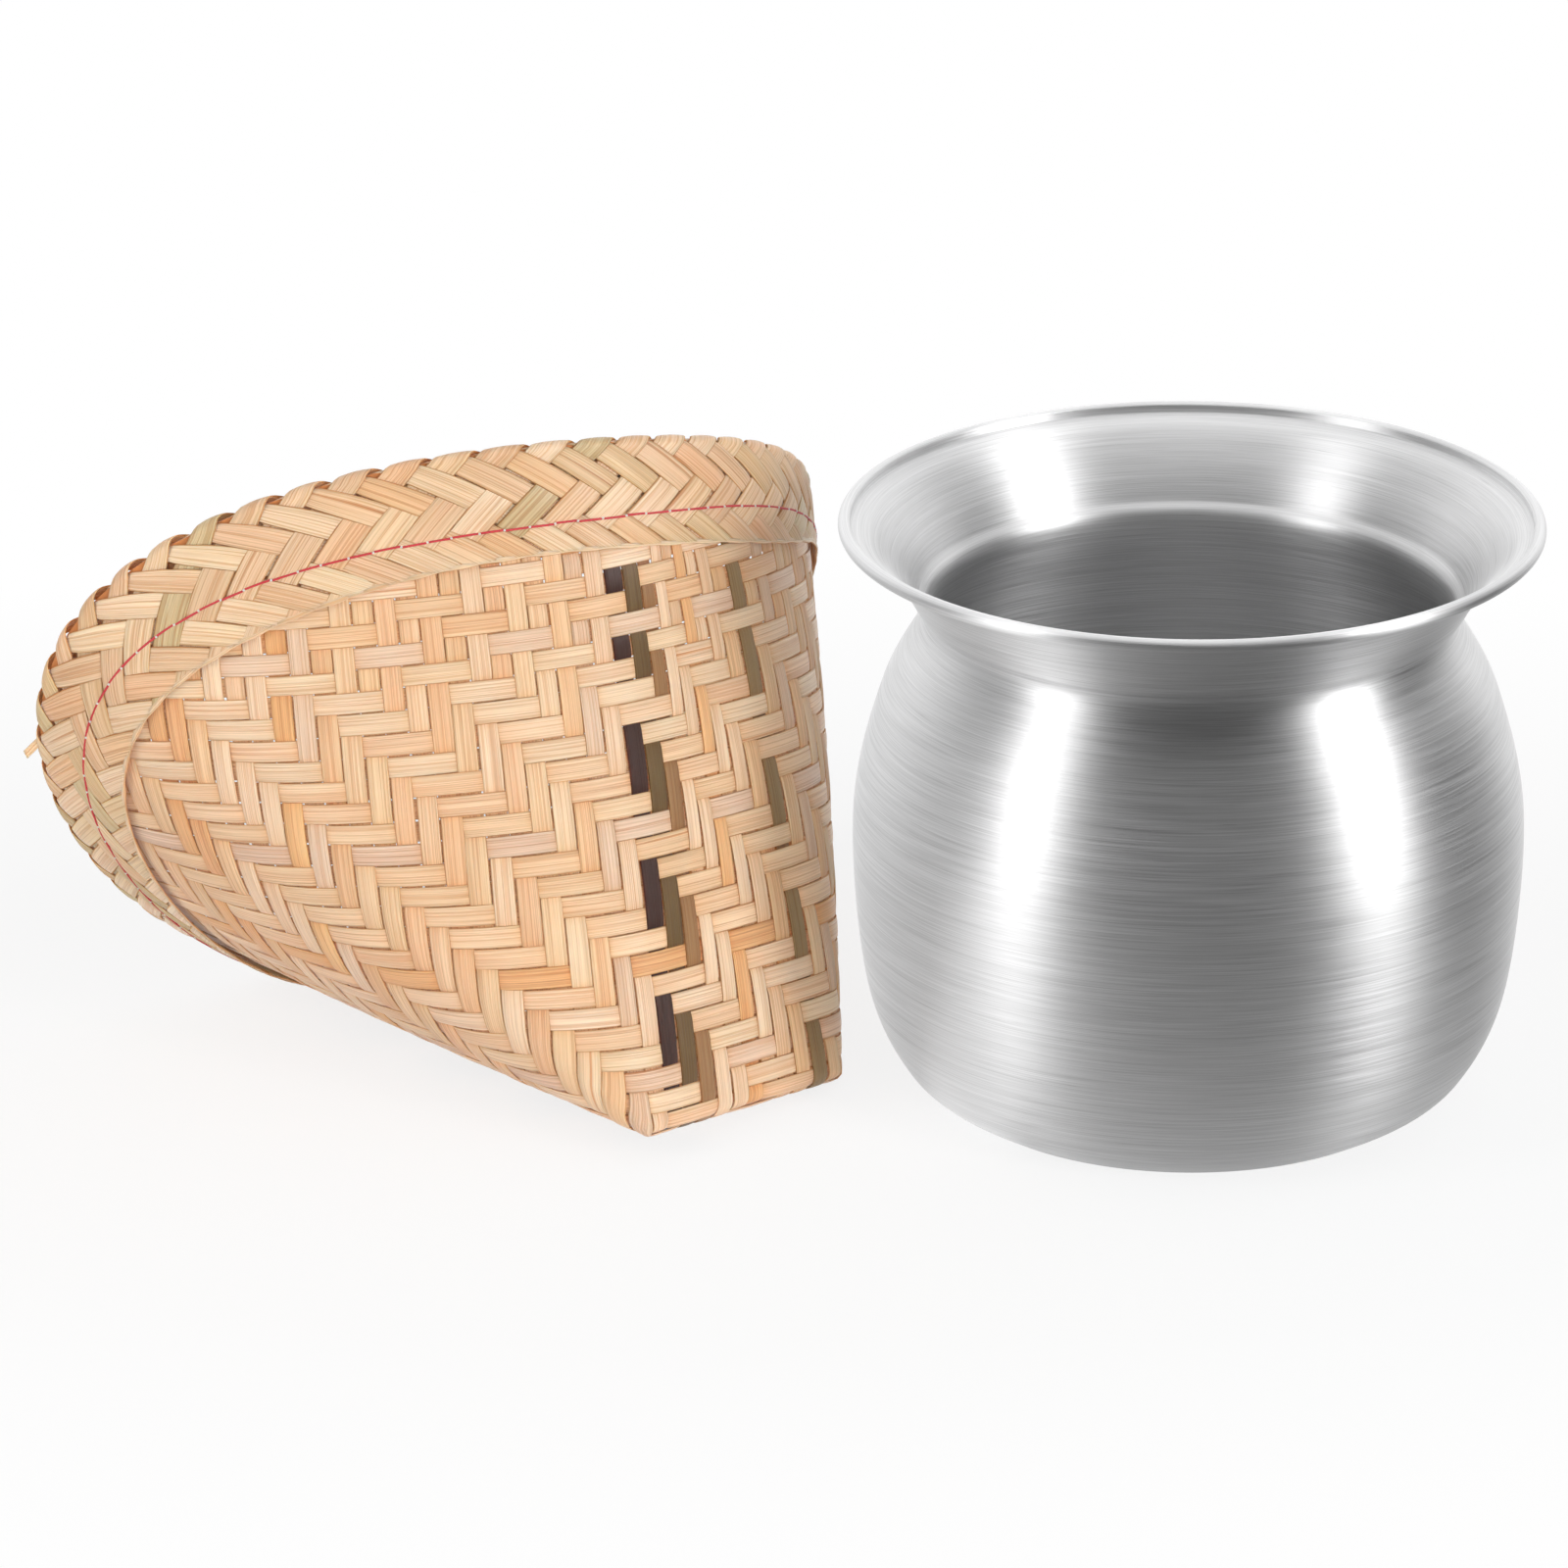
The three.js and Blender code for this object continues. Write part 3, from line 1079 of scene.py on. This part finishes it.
def bamboo_material(name, grain, line, raw, split, amount):
    """Split bamboo with the shades of its lines, of its raw sides, which also paint warm shade into the gaps
    between strips, and of its splits, and how much of it is split.
    """
    material, tree, shader = new_material(name)
    tint = add_node(tree, "Attribute", {}, attribute_name="tint").outputs
    place = add_node(tree, "UVMap", {}, uv_map="strip").outputs[0]
    values = {
        "Place": place,
        "Tint": tint["Color"],
        "Outer Face": tint["Alpha"],
        "Line Colour": line,
        "Raw Side And Painted Gap Shade": raw,
        "Split Colour": split,
        "Split Amount": amount,
    }
    strip = add_node(tree, "Group", values, node_tree=grain).outputs
    relief = {"Height": strip["Height"], "Strength": 0.5, "Distance": 0.00025}
    bump = add_node(tree, "Bump", relief)
    fibres = add_node(tree, "Tangent", {}, direction_type="UV_MAP", uv_map="strip")
    finish = {
        "Base Color": strip["Color"],
        "Roughness": strip["Roughness"],
        "Normal": bump.outputs[0],
        "Tangent": fibres.outputs[0],
        "Anisotropic": 0.65,
        "Anisotropic Rotation": 0.25,
        "Specular IOR Level": 0.5,
        "Subsurface Weight": 0.45,
        "Subsurface Radius": (1.0, 0.6, 0.4),
        "Subsurface Scale": 0.0016,
    }
    feed(tree, shader, finish)
    return material


def make_thread_twist():
    """The twist of a thread: a shade that winds round it."""
    inputs = {"Place": "Vector", "Colour": "Color"}
    group, given, put = new_group("thread_twist", inputs, {"Color": "Color"})
    slant = {"Vector": given["Place"], "Rotation": (0, 0, 0.7)}
    slanted = add_node(group, "Mapping", slant).outputs[0]
    twist = add_node(group, "TexWave", {"Vector": slanted, "Scale": 260.0}).outputs[0]
    shade = ramp(group, twist, [(0.0, 0.75), (1.0, 1.0)])
    feed(group, put, {"Color": multiply(group, given["Colour"], shade)})
    return group


def thread_material(name, twist, colour):
    material, tree, shader = new_material(name)
    place = add_node(tree, "UVMap", {}, uv_map="strip").outputs[0]
    thread = add_node(tree, "Group", {"Place": place, "Colour": srgb(*colour)}, node_tree=twist)
    feed(tree, shader, {"Base Color": thread.outputs["Color"], "Roughness": 0.6})
    return material


def aluminium_material():
    """Spun metal: fine and broad rings, and long marks along them."""
    material, tree, shader = new_material("spun_aluminium")
    place = add_node(tree, "TexCoord", {}).outputs["Object"]
    x, y, z = add_node(tree, "SeparateXYZ", {0: place}).outputs
    flat = add_node(tree, "CombineXYZ", {0: x, 1: y}).outputs[0]
    radius = add_node(tree, "VectorMath", {0: flat}, operation="LENGTH").outputs["Value"]
    around = add_node(tree, "VectorMath", {0: flat}, operation="NORMALIZE").outputs["Vector"]
    turned = add_node(tree, "SeparateXYZ", {0: around}).outputs

    def rings(turns, per_metre, detail):
        """Noise that changes slowly round the pot, and fast along its radius and height."""
        scaled = ((turned[0], turns), (turned[1], turns), (z, per_metre))
        parts = {i: arithmetic(tree, "MULTIPLY", part, scale) for i, (part, scale) in enumerate(scaled)}
        inputs = {
            "Vector": add_node(tree, "CombineXYZ", parts).outputs[0],
            "W": arithmetic(tree, "MULTIPLY", radius, per_metre),
            "Scale": 1.0,
            "Detail": detail,
        }
        return add_node(tree, "TexNoise", inputs, noise_dimensions="4D").outputs[0]

    fine = rings(*fine_rings)
    colour = multiply(tree, aluminium_colour, ramp(tree, fine, [(0.3, 0.8), (0.66, 1.08)]))
    colour = multiply(tree, colour, ramp(tree, rings(*broad_rings), [(0.3, 0.94), (0.66, 1.03)]))
    colour = multiply(tree, colour, ramp(tree, rings(*long_rings), [(0.24, 0.78), (0.3, 1.0)]))
    bump = add_node(tree, "Bump", {"Height": fine, "Strength": 0.1, "Distance": 0.0001})
    tangent = add_node(tree, "Tangent", {}, direction_type="RADIAL", axis="Z")
    finish = {
        "Base Color": colour,
        "Roughness": mapped(tree, fine, (0.3, 0.7), (0.42, 0.54)),
        "Normal": bump.outputs[0],
        "Tangent": tangent.outputs[0],
        "Metallic": 1.0,
        "Anisotropic": 0.84,
        "Anisotropic Rotation": 0.25,
    }
    feed(tree, shader, finish)
    return material


def hoop_material():
    """Raw split bamboo, mottled."""
    material, tree, shader = new_material("split_bamboo")
    place = add_node(tree, "TexCoord", {}).outputs["Object"]
    grain = stretched_noise(tree, place, (300, 300, 300), 3.0)
    colour = multiply(tree, srgb(*hoop_colour), ramp(tree, grain, [(0.3, 0.8), (0.7, 1.05)]))
    feed(tree, shader, {"Base Color": colour, "Roughness": 0.65})
    return material


# Put together.

grain = make_bamboo_grain()
wall_bamboo = bamboo_material("dry_bamboo", grain, *dry_finish)
green_bamboo = bamboo_material("green_bamboo", grain, *green_finish)
twist = make_thread_twist()
red_thread = thread_material("red_thread", twist, red_colour)
white_thread = thread_material("white_thread", twist, white_colour)

pot = make_pot(aluminium_material())
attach(pot, "pot")
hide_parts("pot_body")

for piece in make_weave(wall_bamboo):
    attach(piece, "basket")
    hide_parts("basket_wall")

for piece in make_band(green_bamboo):
    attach(piece, "basket")
    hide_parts("rim_band")

for piece in make_stitching(red_thread, white_thread):
    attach(piece, "basket")

# The pot doesn't mirror the basket beside it.
for piece in frame["bodies"]["basket"].children:
    piece.visible_glossy = False

hoop = frame["nodes"]["rim_hoop"]
hoop.data.materials.clear()
hoop.data.materials.append(hoop_material())


# Studio.

def make_floor():
    """A white floor that keeps a faint shadow close to the object. Mirrored, it shows painted light: darker
    in front and to the right, and a painted pool of light below each softbox.
    """
    bpy.ops.object.select_all(action="DESELECT")
    bpy.ops.mesh.primitive_plane_add(size=floor_size, location=(0, 0, floor_height))
    floor = bpy.context.object
    floor.name = floor.data.name = "floor"
    material, tree, paper = new_material("pale_floor")
    feed(tree, paper, {"Base Color": (0.93, 0.93, 0.93, 1), "Roughness": 0.9})
    rays = add_node(tree, "LightPath", {}).outputs
    place = add_node(tree, "TexCoord", {}).outputs["Object"]
    x, y, _ = add_node(tree, "SeparateXYZ", {0: place}).outputs
    # In a reflection the floor shows painted light and shade: darker in front of the object and to its
    # right.
    behind = arithmetic(tree, "ADD", y, arithmetic(tree, "MULTIPLY", x, floor_slant))
    shine = mapped(tree, behind, floor_depth, painted_floor_glow)
    flat = add_node(tree, "CombineXYZ", {0: x, 1: y}).outputs[0]
    heading = add_node(tree, "VectorMath", {0: flat}, operation="NORMALIZE").outputs[0]
    # Seen in a reflection, each softbox gets a painted pool of light on the floor below it.
    for lamp_place, strength in painted_light_pools:
        inputs = {0: heading, 1: Vector((lamp_place[0], lamp_place[1], 0)).normalized()}
        towards = add_node(tree, "VectorMath", inputs, operation="DOT_PRODUCT").outputs["Value"]
        pool = arithmetic(tree, "MULTIPLY", between(tree, towards, painted_pool_edge, 1.0), strength)
        shine = arithmetic(tree, "ADD", shine, pool)
    level = mixed(tree, rays["Is Camera Ray"], shine, 1.0)
    glow = add_node(tree, "Emission", {0: WHITE, 1: level}).outputs[0]
    inputs = {"Vector": flat, "Location": shadow_shift, "Scale": shadow_stretch}
    centred = add_node(tree, "Mapping", inputs).outputs[0]
    far = add_node(tree, "VectorMath", {0: centred}, operation="LENGTH").outputs["Value"]
    white = mapped(tree, far, shadow_reach, shadow_white)
    paler = add_node(tree, "MixShader", {0: white, 1: paper.outputs[0], 2: glow}).outputs[0]
    seen = rays["Is Camera Ray"]
    for ray in ("Is Glossy Ray", "Is Transmission Ray"):
        seen = arithmetic(tree, "MAXIMUM", seen, rays[ray])
    shown = add_node(tree, "MixShader", {0: seen, 1: paper.outputs[0], 2: paler}).outputs[0]
    feed(tree, tree.nodes["Material Output"], {0: shown})
    floor.data.materials.append(material)


def make_world():
    """Mirrored, the studio is white behind and above the object, and dark in front and to the right."""
    world = bpy.data.worlds.new("studio")
    bpy.context.scene.world = world
    world.use_nodes = True
    sky = world.node_tree
    direction = add_node(sky, "TexCoord", {}).outputs["Generated"]
    x, y, z = add_node(sky, "SeparateXYZ", {0: direction}).outputs
    rightward = arithmetic(sky, "MAXIMUM", x, 0.0)
    behind = y
    for part, weight in zip((z, x, rightward), sky_weights):
        behind = arithmetic(sky, "ADD", behind, arithmetic(sky, "MULTIPLY", part, weight))
    shine = mapped(sky, behind, sky_depth, sky_glow)
    ceiling = arithmetic(sky, "MULTIPLY", between(sky, z, *ceiling_edge), ceiling_glow)
    shine = arithmetic(sky, "MAXIMUM", shine, ceiling)
    rays = add_node(sky, "LightPath", {}).outputs
    level = mixed(sky, rays["Is Glossy Ray"], sky_fill, shine)
    level = arithmetic(sky, "MAXIMUM", level, rays["Is Camera Ray"])
    feed(sky, sky.nodes["Background"], {0: WHITE, 1: level})


def area_light(name, place, aim, size, power, hidden):
    """A lamp that aims at a point. hidden names the rays that don't see it."""
    light = bpy.data.lights.new(name, "AREA")
    light.shape = "RECTANGLE"
    light.size, light.size_y = size
    light.energy = power
    lamp = bpy.data.objects.new(name, light)
    bpy.context.scene.collection.objects.link(lamp)
    lamp.location = place
    lamp.rotation_euler = (Vector(aim) - Vector(place)).to_track_quat("-Z", "Y").to_euler()
    if hidden:
        setattr(lamp, hidden, False)


def make_camera():
    data = bpy.data.cameras.new("camera")
    camera = bpy.data.objects.new("camera", data)
    bpy.context.scene.collection.objects.link(camera)
    away = Vector((0, -math.cos(camera_elevation), math.sin(camera_elevation)))
    camera.location = Vector(camera_target) + camera_distance * away
    camera.rotation_euler = (math.pi / 2 - camera_elevation, 0, 0)
    data.sensor_width = 36
    data.lens = camera_lens
    data.clip_end = 100
    bpy.context.scene.camera = camera


make_floor()
make_world()
for lamp in lamps:
    area_light(*lamp)
make_camera()
bpy.context.scene.view_settings.view_transform = "Standard"
